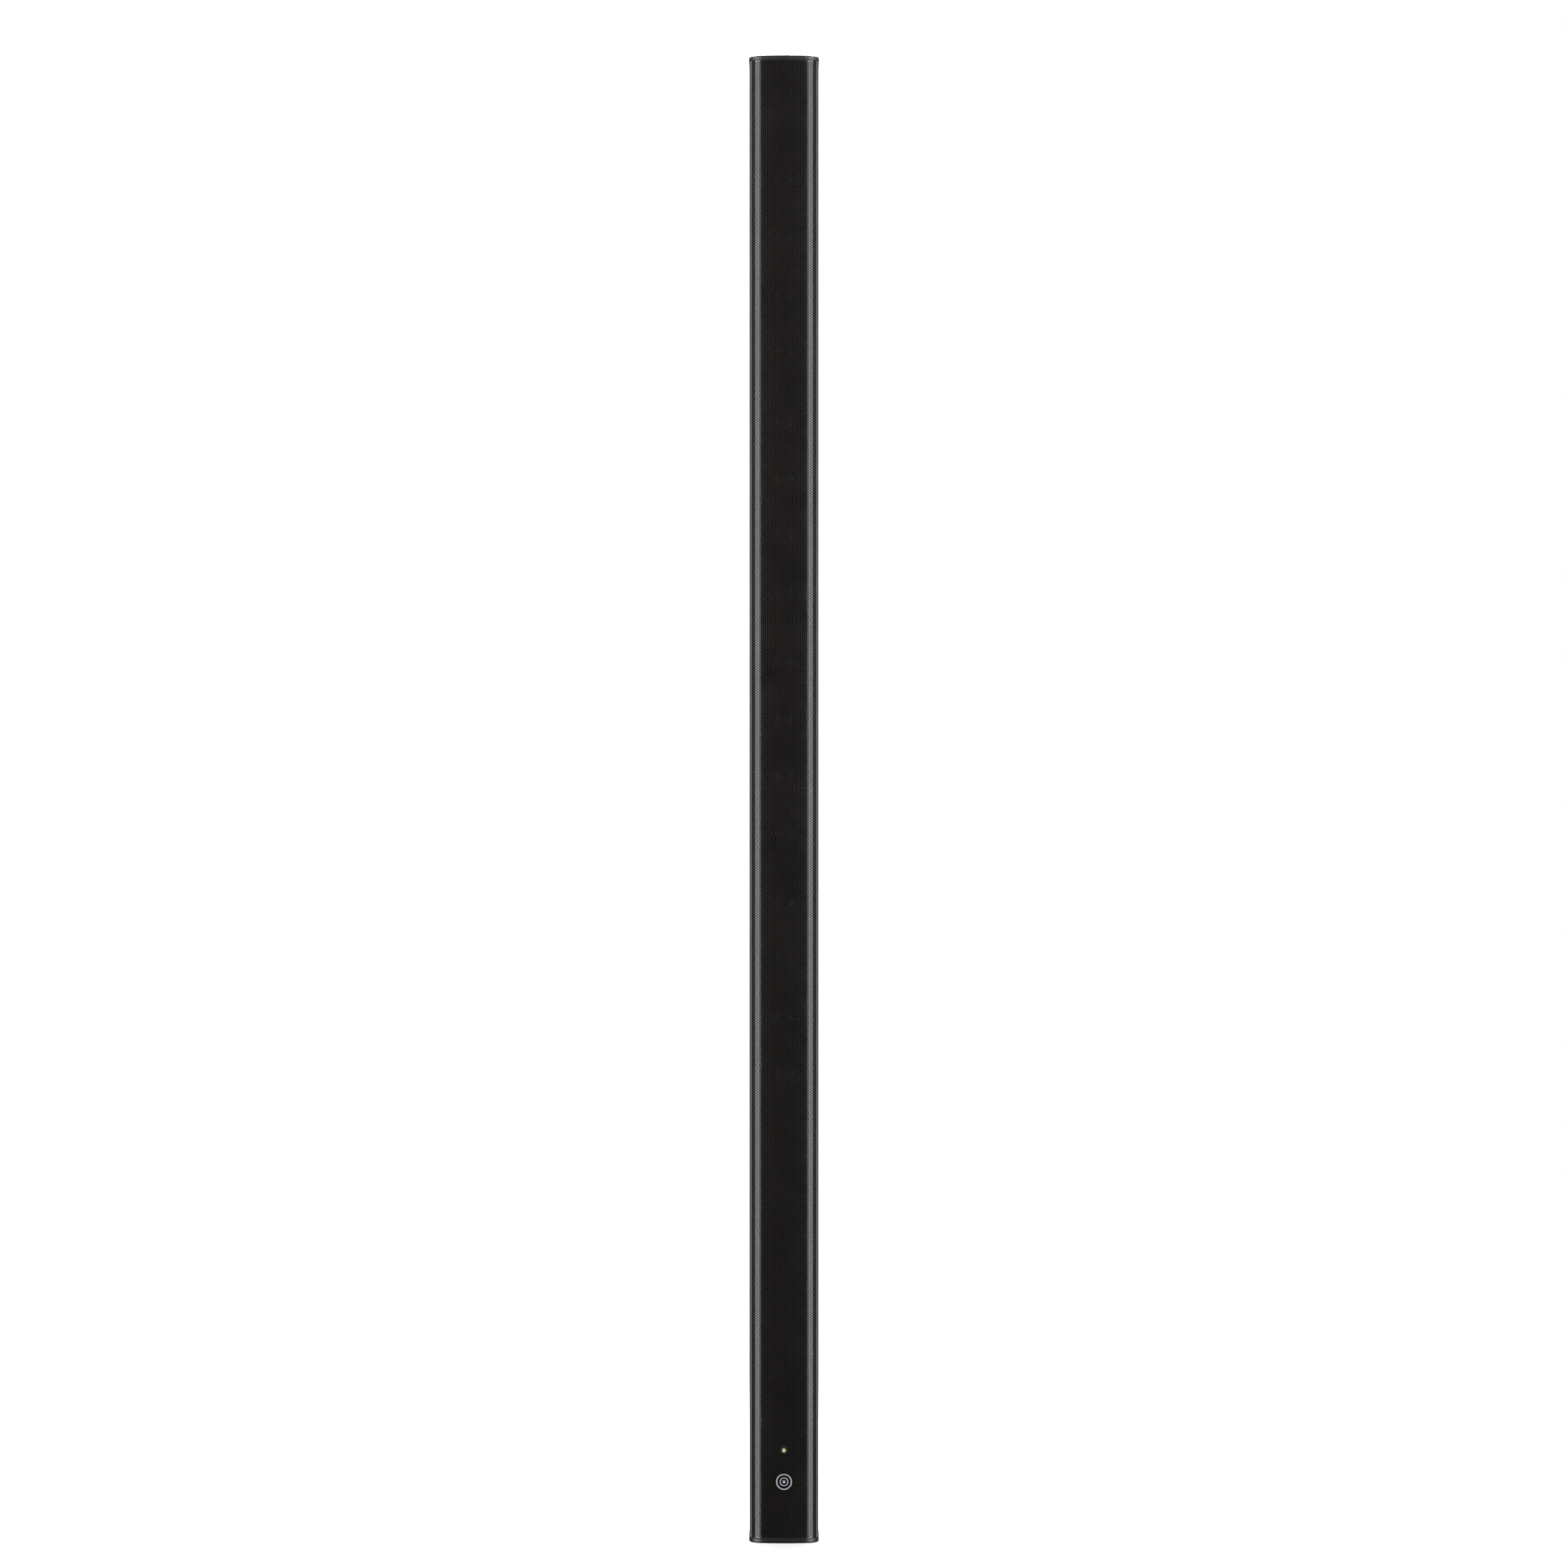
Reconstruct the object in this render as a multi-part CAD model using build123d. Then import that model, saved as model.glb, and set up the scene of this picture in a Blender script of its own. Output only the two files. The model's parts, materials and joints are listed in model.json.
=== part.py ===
from build123d import *
import math
import os

os.makedirs("parts", exist_ok=True)

# A slim column loudspeaker. Millimetres, +Z up, the grille faces -Y, and the origin is
# the middle of the underside of the bottom end cap's box.

# Overall size
HEIGHT = 1149.0
WIDTH = 54.0
DEPTH = 103.0
FRONT_Y = -DEPTH / 2
BACK_Y = DEPTH / 2

# Plan outline of the end caps: a shallow crown, two round shoulders, flat sides
CROWN_R = 68.0
SHOULDER_R = 13.86
REAR_CORNER_R = 9.0
SHOULDER_X = WIDTH / 2 - SHOULDER_R
CROWN_CENTRE_Y = FRONT_Y + CROWN_R
SHOULDER_TURN = math.asin(SHOULDER_X / (CROWN_R - SHOULDER_R))
SHOULDER_Y = CROWN_CENTRE_Y - (CROWN_R - SHOULDER_R) * math.cos(SHOULDER_TURN)

# Ends
CAP_T = 3.0
CAP_EDGE_R = 1.1
GASKET_T = 0.5
GASKET_INSET = 0.7
BODY_LOW = CAP_T + GASKET_T
BODY_HIGH = HEIGHT - CAP_T - GASKET_T
BOSS_X = 15.0
BOSS_Y = (-22.0, 14.0)
BOSS_H = 4.0
GASKET_WINDOW_X = 17.5
GASKET_WINDOW_Y = (-37.0, 39.0)

# Extruded housing
BODY_INSET = 0.3
WALL = 1.8
INNER_X = WIDTH / 2 - BODY_INSET - WALL
LIP_TIP_R = 0.12
LIP_FACET_X = 26.0
LIP_FACET_TURN = math.radians(40.0)
SEAL_T = 0.6
BAFFLE_FRONT_Y = -39.0
BAFFLE_T = 4.0
BAFFLE_BACK_Y = BAFFLE_FRONT_Y + BAFFLE_T
RIB_T = 1.5
RIB_X = 21.7
UPSTAND_T = 0.9
UPSTAND_H = 2.0
PORT_X = 21.9
PORT_YS = (-27.5, 33.0)
PORT_R = 3.4
PORT_HOLE_R = 1.8
GUIDE_X = 22.7

# Countersunk screws through the end caps
CAP_HEAD_R = 3.5
CAP_HEAD_LAND = 0.3
CAP_HEAD_T = 1.9
CAP_SCREW_LENGTH = 14.0
CAP_SCREW_SINK = 0.05
CAP_SEAT_PLAY = 0.1
CAP_SEAT_DEPTH = 8.0
CAP_SOCKET_R = 1.25
CAP_SOCKET_DEPTH = 2.25

# T-slot in the housing's back
SLOT_MOUTH = 8.2
SLOT_WIDTH = 16.4
SLOT_LIP = 2.2
SLOT_HEIGHT = 6.0
SLOT_WALL = 2.0
SLOT_BACK_Y = BACK_Y - BODY_INSET
SLOT_ROOF_Y = SLOT_BACK_Y - SLOT_LIP
SLOT_FLOOR_Y = SLOT_ROOF_Y - SLOT_HEIGHT
SLOT_BOX_Y = SLOT_FLOOR_Y - SLOT_WALL

# Bracket nuts that slide in the T-slot
NUT_Z = (330.0, 900.0)
NUT_LENGTH = 24.0
NUT_WIDTH = 15.6
NUT_T = 5.3
NUT_NECK = 7.4
NUT_NECK_H = 1.6
NUT_GAP = 0.35
M6_R = 3.0

# Perforated grille sheet (its holes are too fine for this model)
GRILLE_INSET = 0.8
GRILLE_T = 1.0
GRILLE_X = 23.9
GRILLE_END_GAP = 0.1

# Drivers: four modules of four
MODULES = 4
PER_MODULE = 4
DRIVER_PITCH = 44.0
MODULE_PITCH = 186.5
TOP_DRIVER_Z = HEIGHT - 95.4
MODULE_GAP = 0.1
MODULE_HIGH = TOP_DRIVER_Z + (MODULE_PITCH - (PER_MODULE - 1) * DRIVER_PITCH) / 2
MODULE_LOW = MODULE_HIGH - MODULES * MODULE_PITCH

FLANGE = 41.0
FLANGE_T = 2.0
FLANGE_CORNER_R = 4.0
FLANGE_Y = BAFFLE_FRONT_Y - FLANGE_T
THROAT_R = 17.0
BASKET_R = 18.2
BASKET_HOLE_R = 18.5
BASKET_BACK_R = 13.0
BASKET_BACK_Y = -27.0
BASKET_T = 1.2
BACK_PLATE_T = 1.5
BACK_PLATE_HOLE_R = 8.4
WINDOW_HALF = 5.0
WINDOW_FRONT_GAP = 0.6
WINDOW_BACK_GAP = 1.6
SCREW_GRID = 35.0
SMALL_SCREW_R = 1.0
SMALL_HEAD_R = 2.1
SMALL_HEAD_T = 1.3
SMALL_SCREW_LENGTH = 5.5
SMALL_SOCKET_R = 0.9
SMALL_SOCKET_DEPTH = 0.8

CUP_R = 12.5
CUP_BORE_R = 7.9
CUP_LENGTH = 9.0
CUP_FLOOR = 2.0
POLE_R = 6.3
COIL_R = 7.1
COIL_T = 0.4
COIL_BACK_Y = -20.4
CONE_EDGE_R = 15.6
CONE_T = 0.5
CONE_RIM_W = 1.2
CONE_NECK_Y = -34.0
DUST_CAP_R = 8.4
DUST_CAP_RISE = 2.6
DUST_CAP_T = 0.3
SURROUND_R = 17.8
SURROUND_T = 0.45
SPIDER_R = 11.3
SPIDER_T = 0.4
SPIDER_Y = BASKET_BACK_Y - SPIDER_T

# Status light and badge on the lower grille
LIGHT_Z = 71.3
LIGHT_R = 1.5
LIGHT_FOOT_R = 3.2
LIGHT_FOOT_T = 1.2
LIGHT_GAP = 0.4
LED_SIZE = 2.8
LED_T = 1.2
LED_BOARD_T = 1.6
LED_BOARD = (16.0, 26.0)
BADGE_Z = 47.4
BADGE_R = 6.4
BADGE_RIM = 0.25
BADGE_RING_W = 0.8
BADGE_FIELD_DROP = 0.2
EMBLEM_R = 3.3
EMBLEM_W = 0.5
EMBLEM_DOT_R = 1.05

# Connector pan in the lower back
PAN_LOW = 20.0
PAN_HIGH = 110.0
PAN_X = 15.3
PAN_WALL = 1.5
PAN_FLOOR_Y = 38.5
PAN_FLANGE_X = 17.2
PAN_FLANGE_END = 10.0
PAN_FLANGE_T = 1.2
PAN_FIT = 0.2
PAN_SCREW_X = 11.0
PAN_SCREW_END = 5.0
PAN_SCREW_SINK = 0.7

JACK_Z = 82.0
JACK_SIZE = 16.0
JACK_MOUTH = (11.8, 8.2)
JACK_DEPTH = 11.5
JACK_PROUD = 0.4
LATCH_STEPS = ((3.0, 1.6), (1.6, 2.8))
DIP_Z = 52.0
DIP_WAYS = 4
DIP_PITCH = 2.54
DIP_BLOCK = (12.2, 10.0)
DIP_SLOT = (1.5, 3.6)
DIP_SLOT_DEPTH = 1.0
DIP_NUB = (0.9, 1.0)
DIP_NUB_H = 1.7
DIP_TRAVEL = 2.0
DIP_PROUD = 0.6
PLAY = 0.05
RESET_Z = 32.0
RESET_R = 1.7
RESET_HOLE_R = 2.1
RESET_SWITCH = 6.0
RESET_SWITCH_T = 4.0
RESET_SUNK = 0.2
RESET_GAP = 0.6

# Boards and what is on them
CHASSIS_Y = 20.0
CHASSIS_T = 1.5
CHASSIS_LOW = 9.0
CHASSIS_HIGH = 328.0
BOARD_T = 1.6
STANDOFF_H = 2.0
NET_BOARD = (36.0, 13.0, 200.0)
AMP_BOARD = (40.0, 120.0, 322.0)
SPACER_R = 2.2
SPACER_INSET = (4.0, 6.0)
COIL_SIZE = (5.0, 7.0)
COIL_X = 12.0
COIL_STEP = 15.0
CAPACITORS = 4
CAPACITOR_SIZE = (6.2, 20.0)
CAPACITOR_STEP = 16.0
PART_END_GAP = 12.0
TRANSFORMER = (20.0, 11.0, 22.0)
TRANSFORMER_LOW = 140.0
BULKHEAD_T = 4.0
FOAM = (36.0, 31.0, 41.0)
HARNESS_X = -17.5
HARNESS_Y = -16.0
HARNESS_R = 2.0
LEAD_R = 0.7
LEAD_RISE = 3.0
LOOM_TAIL = 12.0


def save(shape, node):
    """Writes one named sub-part."""
    export_step(shape, "parts/" + node + ".step")


def block(x, y, z):
    """A box from three (low, high) pairs."""
    size = [high - low for low, high in (x, y, z)]
    middle = [(high + low) / 2 for low, high in (x, y, z)]
    return Pos(*middle) * Box(*size)


def sheet(x, y):
    """A rectangle in plan from two (low, high) pairs."""
    size = [high - low for low, high in (x, y)]
    middle = [(high + low) / 2 for low, high in (x, y)]
    return Pos(*middle) * Rectangle(*size)


def rod(x, z, radius, y):
    """A round rod that runs along Y between two depths."""
    low, high = y
    return Pos(x, (low + high) / 2, z) * Rot(90, 0, 0) * Cylinder(radius, high - low)


def outline(inset):
    """The column's plan section, moved inwards by inset."""
    crown = CROWN_R - inset
    shoulder = SHOULDER_R - inset
    corner = REAR_CORNER_R - inset
    side = WIDTH / 2 - inset
    back = BACK_Y - inset
    corner_y = back - corner
    corner_x = side - corner
    half_turn = (SHOULDER_TURN + math.pi / 2) / 2

    def on_shoulder(angle):
        return (
            SHOULDER_X + shoulder * math.sin(angle),
            SHOULDER_Y - shoulder * math.cos(angle),
        )

    def mirrored(point):
        return (-point[0], point[1])

    crown_end = on_shoulder(SHOULDER_TURN)
    bend = on_shoulder(half_turn)
    side_top = (side, SHOULDER_Y)
    side_end = (side, corner_y)
    slant = corner * math.sqrt(0.5)
    bulge = (corner_x + slant, corner_y + slant)
    back_end = (corner_x, back)
    edges = [
        ThreePointArc(mirrored(crown_end), (0, CROWN_CENTRE_Y - crown), crown_end),
        ThreePointArc(crown_end, bend, side_top),
        Line(side_top, side_end),
        ThreePointArc(side_end, bulge, back_end),
        Line(back_end, mirrored(back_end)),
        ThreePointArc(mirrored(back_end), mirrored(bulge), mirrored(side_end)),
        Line(mirrored(side_end), mirrored(side_top)),
        ThreePointArc(mirrored(side_top), mirrored(bend), mirrored(crown_end)),
    ]
    return make_face(edges)


def both_sides(section):
    """A plan section and its mirror image across the column's middle plane."""
    return [section, mirror(section, about=Plane.YZ)]


def lip_front():
    """What the bevel takes off the front of one side wall's shoulder curve."""
    reach = SHOULDER_R - BODY_INSET
    arc_y = SHOULDER_Y - math.sqrt(reach**2 - (LIP_FACET_X - SHOULDER_X) ** 2)
    side_x, slope = WIDTH / 2, math.tan(LIP_FACET_TURN)
    low_x = INNER_X - WALL
    corners = [
        (low_x, FRONT_Y),
        (side_x, FRONT_Y),
        (side_x, arc_y + (side_x - LIP_FACET_X) * slope),
        (low_x, arc_y + (low_x - LIP_FACET_X) * slope),
    ]
    return make_face(Polyline(*corners, close=True))


def housing_section():
    """Channel walls, grille groove, baffle groove, card guides, screw ports, T-slot."""
    walls = outline(BODY_INSET) - outline(BODY_INSET + WALL)
    walls -= sheet((-INNER_X, INNER_X), (FRONT_Y, 0))
    for front in both_sides(lip_front()):
        walls -= front
    inner_tips = walls.vertices().filter_by(
        lambda v: v.Y < SHOULDER_Y - 1 and abs(v.X) < INNER_X + 0.01
    )
    section = fillet(inner_tips, LIP_TIP_R)
    rib_y = BAFFLE_FRONT_Y - RIB_T
    back_rib_y = BAFFLE_BACK_Y + PLAY
    guide_y = CHASSIS_Y - PLAY
    guide_back_y = CHASSIS_Y + CHASSIS_T + PLAY
    features = [
        sheet((RIB_X, INNER_X + WALL / 4), (rib_y, BAFFLE_FRONT_Y)),
        sheet((RIB_X, RIB_X + UPSTAND_T), (rib_y - UPSTAND_H, rib_y)),
        sheet((GUIDE_X, INNER_X + WALL / 2), (back_rib_y, back_rib_y + RIB_T)),
        sheet((GUIDE_X, INNER_X + WALL / 2), (guide_y - RIB_T, guide_y)),
        sheet((GUIDE_X, INNER_X + WALL / 2), (guide_back_y, guide_back_y + RIB_T)),
    ]
    for port_y in PORT_YS:
        features.append(Pos(PORT_X, port_y) * Circle(PORT_R))
    for feature in features:
        for half in both_sides(feature):
            section += half
    slot_box_x = SLOT_WIDTH / 2 + SLOT_WALL
    section += sheet((-slot_box_x, slot_box_x), (SLOT_BOX_Y, SLOT_BACK_Y))
    section -= sheet((-SLOT_WIDTH / 2, SLOT_WIDTH / 2), (SLOT_FLOOR_Y, SLOT_ROOF_Y))
    section -= sheet((-SLOT_MOUTH / 2, SLOT_MOUTH / 2), (SLOT_ROOF_Y, BACK_Y))
    for port_y in PORT_YS:
        for side in (-1, 1):
            section -= Pos(side * PORT_X, port_y) * Circle(PORT_HOLE_R)
    return section


def between(section, low, high):
    """A plan section raised into a solid between two heights."""
    return Pos(0, 0, low) * extrude(section, high - low)


def pan_opening():
    """The stepped window that the connector pan drops into."""
    through_x = PAN_X + PAN_FIT
    flange_x = PAN_FLANGE_X + PAN_FIT
    flange_y = SLOT_BACK_Y - PAN_FLANGE_T
    window = block(
        (-through_x, through_x),
        (PAN_FLOOR_Y - PAN_WALL, BACK_Y),
        (PAN_LOW - PAN_FIT, PAN_HIGH + PAN_FIT),
    )
    rebate = block(
        (-flange_x, flange_x),
        (flange_y, BACK_Y),
        (PAN_LOW - PAN_FLANGE_END - PAN_FIT, PAN_HIGH + PAN_FLANGE_END + PAN_FIT),
    )
    return window + rebate


def pan_screw_places():
    """The four corners of the connector pan's flange."""
    places = []
    for x in (-PAN_SCREW_X, PAN_SCREW_X):
        for z in (PAN_LOW - PAN_SCREW_END, PAN_HIGH + PAN_SCREW_END):
            places.append((x, z))
    return places


def driver_heights(module):
    """Heights of one module's drivers, from the top down."""
    first = TOP_DRIVER_Z - module * MODULE_PITCH
    return [first - k * DRIVER_PITCH for k in range(PER_MODULE)]


def screw_grid(z):
    """The four fixing screws round one driver."""
    half = SCREW_GRID / 2
    return [(x, z + dz) for x in (-half, half) for dz in (-half, half)]


ALL_HEIGHTS = [z for module in range(MODULES) for z in driver_heights(module)]


def turned(points, z):
    """A solid of revolution about a driver's axis, from (radius, y) points."""
    face = make_face(Polyline(*[(r, y, 0) for r, y in points], close=True))
    return Pos(0, 0, z) * revolve(face, Axis.Y)


# ---- housing, end caps and gaskets ---------------------------------------------------


def make_housing():
    housing = between(housing_section(), BODY_LOW, BODY_HIGH)
    housing -= pan_opening()
    for x, z in pan_screw_places():
        housing -= rod(x, z, SMALL_SCREW_R, (SLOT_BOX_Y, BACK_Y))
    return housing


def cap_screw(x, y, top):
    """A countersunk screw with a hexagon socket, whose head is flush with the cap."""
    shank_r = PORT_HOLE_R - PLAY
    profile = Polyline(
        (0, 0),
        (CAP_HEAD_R, 0),
        (CAP_HEAD_R, -CAP_HEAD_LAND),
        (shank_r, -CAP_HEAD_T),
        (shank_r, -CAP_SCREW_LENGTH),
        (0, -CAP_SCREW_LENGTH),
        close=True,
    )
    screw = revolve(make_face(Plane.XZ * profile), Axis.Z)
    screw -= extrude(RegularPolygon(CAP_SOCKET_R, 6), CAP_SOCKET_DEPTH, both=True)
    return on_cap(screw, x, y, top)


def cap_screw_seat(x, y, top):
    """The hole and countersink that one cap screw fills."""
    head_r = CAP_HEAD_R + CAP_SEAT_PLAY
    profile = Polyline(
        (0, 1),
        (head_r, 1),
        (head_r, -CAP_HEAD_LAND - CAP_SEAT_PLAY),
        (PORT_HOLE_R, -CAP_HEAD_T - CAP_SEAT_PLAY),
        (PORT_HOLE_R, -CAP_SEAT_DEPTH),
        (0, -CAP_SEAT_DEPTH),
        close=True,
    )
    seat = revolve(make_face(Plane.XZ * profile), Axis.Z)
    return on_cap(seat, x, y, top)


def on_cap(shape, x, y, top):
    """Moves a shape drawn at the top of the origin onto an end cap's outer face."""
    if top:
        return Pos(x, y, HEIGHT - CAP_SCREW_SINK) * shape
    return Pos(x, y, CAP_SCREW_SINK) * mirror(shape, about=Plane.XY)


def cap_screw_places():
    return [(side * PORT_X, y) for side in (-1, 1) for y in PORT_YS]


def make_cap(top):
    """An end cap: outline plate, rounded outer edge, locating boss inside."""
    low, high = (HEIGHT - CAP_T, HEIGHT) if top else (0.0, CAP_T)
    cap = between(outline(0), low, high)
    outer = cap.faces().sort_by(Axis.Z)[-1 if top else 0]
    cap = fillet(outer.edges(), CAP_EDGE_R)
    boss_z = (low - BOSS_H, low) if top else (high, high + BOSS_H)
    cap += block((-BOSS_X, BOSS_X), BOSS_Y, boss_z)
    for x, y in cap_screw_places():
        cap -= cap_screw_seat(x, y, top)
    return cap


def make_gasket(top):
    low = BODY_HIGH if top else CAP_T
    window = sheet((-GASKET_WINDOW_X, GASKET_WINDOW_X), GASKET_WINDOW_Y)
    section = outline(GASKET_INSET) - window
    for x, y in cap_screw_places():
        section -= Pos(x, y) * Circle(PORT_HOLE_R)
    return between(section, low, low + GASKET_T)


# ---- grille --------------------------------------------------------------------------


def make_grille():
    """A bent sheet: the crown and shoulders, then two flanges that run straight back."""
    end_y = BAFFLE_FRONT_Y - RIB_T - GRILLE_END_GAP
    curve = outline(GRILLE_INSET) - outline(GRILLE_INSET + GRILLE_T)
    curve &= sheet((-GRILLE_X, GRILLE_X), (FRONT_Y, SHOULDER_Y - 2))
    curve &= sheet((-GRILLE_X, GRILLE_X), (FRONT_Y, end_y))
    reach = SHOULDER_R - GRILLE_INSET
    bend_y = SHOULDER_Y - math.sqrt(reach**2 - (GRILLE_X - SHOULDER_X) ** 2)
    section = curve
    for flange in both_sides(sheet((GRILLE_X - GRILLE_T, GRILLE_X), (bend_y, end_y))):
        section += flange
    return between(section, BODY_LOW, BODY_HIGH)


def make_seal_strips():
    """Two rubber strips that hold the grille's flanges in the housing's grooves."""
    low = BAFFLE_FRONT_Y - RIB_T
    strip = sheet((GRILLE_X, INNER_X), (low - SEAL_T, low))
    solids = [between(half, BODY_LOW, BODY_HIGH) for half in both_sides(strip)]
    return Compound(children=solids)


# ---- badge and status light ----------------------------------------------------------

GRILLE_FACE_Y = FRONT_Y + GRILLE_INSET
GRILLE_BACK_Y = GRILLE_FACE_Y + GRILLE_T


def behind_crown(shape):
    """Takes away whatever lies behind the grille's outer face."""
    return shape - between(outline(GRILLE_INSET), 0, HEIGHT)


def make_badge_disc():
    disc = behind_crown(rod(0, BADGE_Z, BADGE_R, (FRONT_Y, FRONT_Y + 2)))
    ring = rod(0, BADGE_Z, BADGE_R - BADGE_RIM, (FRONT_Y, FRONT_Y + BADGE_FIELD_DROP))
    return disc - ring


def make_badge_ring():
    """A rim ring, an inner ring and a centre dot: a plain picture of a loudspeaker."""
    depth = (FRONT_Y, FRONT_Y + BADGE_FIELD_DROP)
    rim_r = BADGE_R - BADGE_RIM
    rim = rod(0, BADGE_Z, rim_r, depth) - rod(0, BADGE_Z, rim_r - BADGE_RING_W, depth)
    inner = rod(0, BADGE_Z, EMBLEM_R, depth) - rod(0, BADGE_Z, EMBLEM_R - EMBLEM_W, depth)
    dot = rod(0, BADGE_Z, EMBLEM_DOT_R, depth)
    return Compound(children=[rim, inner, dot])


LED_BOARD_Y = BAFFLE_FRONT_Y - LED_BOARD_T
LED_Y = LED_BOARD_Y - LED_T


def make_led_board():
    half_x, half_z = LED_BOARD[0] / 2, LED_BOARD[1] / 2
    heights = (LIGHT_Z - half_z, LIGHT_Z + half_z)
    return block((-half_x, half_x), (LED_BOARD_Y, BAFFLE_FRONT_Y), heights)


def make_led():
    half = LED_SIZE / 2
    return block((-half, half), (LED_Y, LED_BOARD_Y), (LIGHT_Z - half, LIGHT_Z + half))


def make_light_pipe():
    """A clear rod with a domed tip, on a foot that straddles the LED."""
    tip_y = GRILLE_BACK_Y + LIGHT_GAP
    pipe = rod(0, LIGHT_Z, LIGHT_R, (tip_y, LED_Y))
    pipe = fillet(pipe.faces().sort_by(Axis.Y)[0].edges(), 0.8)
    foot = rod(0, LIGHT_Z, LIGHT_FOOT_R, (LED_Y - LIGHT_FOOT_T, LED_BOARD_Y))
    half = LED_SIZE / 2
    foot -= block((-half, half), (LED_Y, LED_BOARD_Y), (LIGHT_Z - half, LIGHT_Z + half))
    return pipe + foot


# ---- drivers -------------------------------------------------------------------------


def baffle_plate(low, high):
    half = INNER_X - PAN_FIT
    return block((-half, half), (BAFFLE_FRONT_Y, BAFFLE_BACK_Y), (low, high))


def make_baffle(module):
    high = MODULE_HIGH - module * MODULE_PITCH
    plate = baffle_plate(high - MODULE_PITCH + MODULE_GAP, high)
    for z in driver_heights(module):
        plate -= rod(0, z, BASKET_HOLE_R, (BAFFLE_FRONT_Y, BAFFLE_BACK_Y))
        for x, screw_z in screw_grid(z):
            plate -= rod(x, screw_z, SMALL_SCREW_R, (BAFFLE_FRONT_Y, BAFFLE_BACK_Y))
    return plate


def make_frame(z):
    """Square flange, open conical basket and the ring that carries the motor."""
    flange_plane = Plane((0, BAFFLE_FRONT_Y, z), x_dir=(1, 0, 0), z_dir=(0, -1, 0))
    square = RectangleRounded(FLANGE, FLANGE, FLANGE_CORNER_R)
    flange = extrude(flange_plane * square, FLANGE_T)
    flange -= rod(0, z, THROAT_R, (FLANGE_Y, BAFFLE_FRONT_Y))
    for x, screw_z in screw_grid(z):
        flange -= rod(x, screw_z, SMALL_SCREW_R, (FLANGE_Y, BAFFLE_FRONT_Y))
    ledge_y = BAFFLE_FRONT_Y + BASKET_T
    plate_y = BASKET_BACK_Y + BACK_PLATE_T
    basket = turned(
        [
            (THROAT_R, BAFFLE_FRONT_Y),
            (BASKET_R, BAFFLE_FRONT_Y),
            (BASKET_R, ledge_y),
            (BASKET_BACK_R, BASKET_BACK_Y),
            (BASKET_BACK_R, plate_y),
            (BACK_PLATE_HOLE_R, plate_y),
            (BACK_PLATE_HOLE_R, BASKET_BACK_Y),
            (BASKET_BACK_R - BASKET_T, BASKET_BACK_Y),
            (THROAT_R, ledge_y),
        ],
        z,
    )
    window_y = (BAFFLE_BACK_Y + WINDOW_FRONT_GAP, BASKET_BACK_Y - WINDOW_BACK_GAP)
    window = block((-WINDOW_HALF, WINDOW_HALF), window_y, (-BASKET_HOLE_R, BASKET_HOLE_R))
    for turn in (0, 90):
        basket -= Pos(0, 0, z) * Rot(0, turn, 0) * window
    return flange + basket


def make_magnet(z):
    """Neodymium motor: an iron cup with its pole and the ring gap for the coil."""
    low = BASKET_BACK_Y + BACK_PLATE_T
    high = low + CUP_LENGTH
    return turned(
        [
            (0, low),
            (POLE_R, low),
            (POLE_R, high - CUP_FLOOR),
            (CUP_BORE_R, high - CUP_FLOOR),
            (CUP_BORE_R, low),
            (CUP_R, low),
            (CUP_R, high),
            (0, high),
        ],
        z,
    )


def make_cone(z):
    """Paper cone, dust cap and voice-coil tube, which move as one."""
    outer_r = COIL_R + COIL_T / 2
    inner_r = COIL_R - COIL_T / 2
    rim_r = CONE_EDGE_R - CONE_RIM_W
    rim_y = FLANGE_Y + CONE_T
    slope = (rim_r - outer_r) / (CONE_NECK_Y - FLANGE_Y)
    cap_y = FLANGE_Y + (rim_r - DUST_CAP_R) / slope
    cap_front_y = cap_y + CONE_T * 0.2
    shell = turned(
        [
            (rim_r, FLANGE_Y),
            (CONE_EDGE_R, FLANGE_Y),
            (CONE_EDGE_R, rim_y),
            (rim_r, rim_y),
            (outer_r, CONE_NECK_Y + CONE_T),
            (outer_r, COIL_BACK_Y),
            (inner_r, COIL_BACK_Y),
            (inner_r, CONE_NECK_Y),
            (outer_r, CONE_NECK_Y),
        ],
        z,
    )
    dome_r = (DUST_CAP_R**2 + DUST_CAP_RISE**2) / (2 * DUST_CAP_RISE)
    dome_y = cap_front_y - DUST_CAP_RISE + dome_r
    reach = math.degrees(math.asin(DUST_CAP_R / dome_r))
    front = CenterArc((0, dome_y), dome_r, -90, reach)
    back = CenterArc((0, dome_y), dome_r - DUST_CAP_T, -90, reach)
    dome = make_face([front, Line(front @ 1, back @ 1), back, Line(back @ 0, front @ 0)])
    return shell + Pos(0, 0, z) * revolve(dome, Axis.Y)


def make_surround(z):
    """Half-roll rubber edge between the cone and the flange."""
    middle = (CONE_EDGE_R + THROAT_R) / 2
    roll = (THROAT_R - CONE_EDGE_R) / 2 + 0.1
    ring = Circle(roll + SURROUND_T) - Circle(roll)
    ring &= Pos(0, -5) * Rectangle(20, 10)
    feet = sheet((roll, SURROUND_R - middle), (-SURROUND_T, 0))
    feet += sheet((CONE_EDGE_R - 1.0 - middle, -roll), (-SURROUND_T, 0))
    section = Pos(middle, FLANGE_Y) * (ring + feet)
    return Pos(0, 0, z) * revolve(section, Axis.Y)


def make_spider(z):
    """Flat centring ring between the coil tube and the frame's back plate."""
    return turned(
        [
            (COIL_R + COIL_T / 2, SPIDER_Y),
            (SPIDER_R, SPIDER_Y),
            (SPIDER_R, SPIDER_Y + SPIDER_T),
            (COIL_R + COIL_T / 2, SPIDER_Y + SPIDER_T),
        ],
        z,
    )


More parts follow.
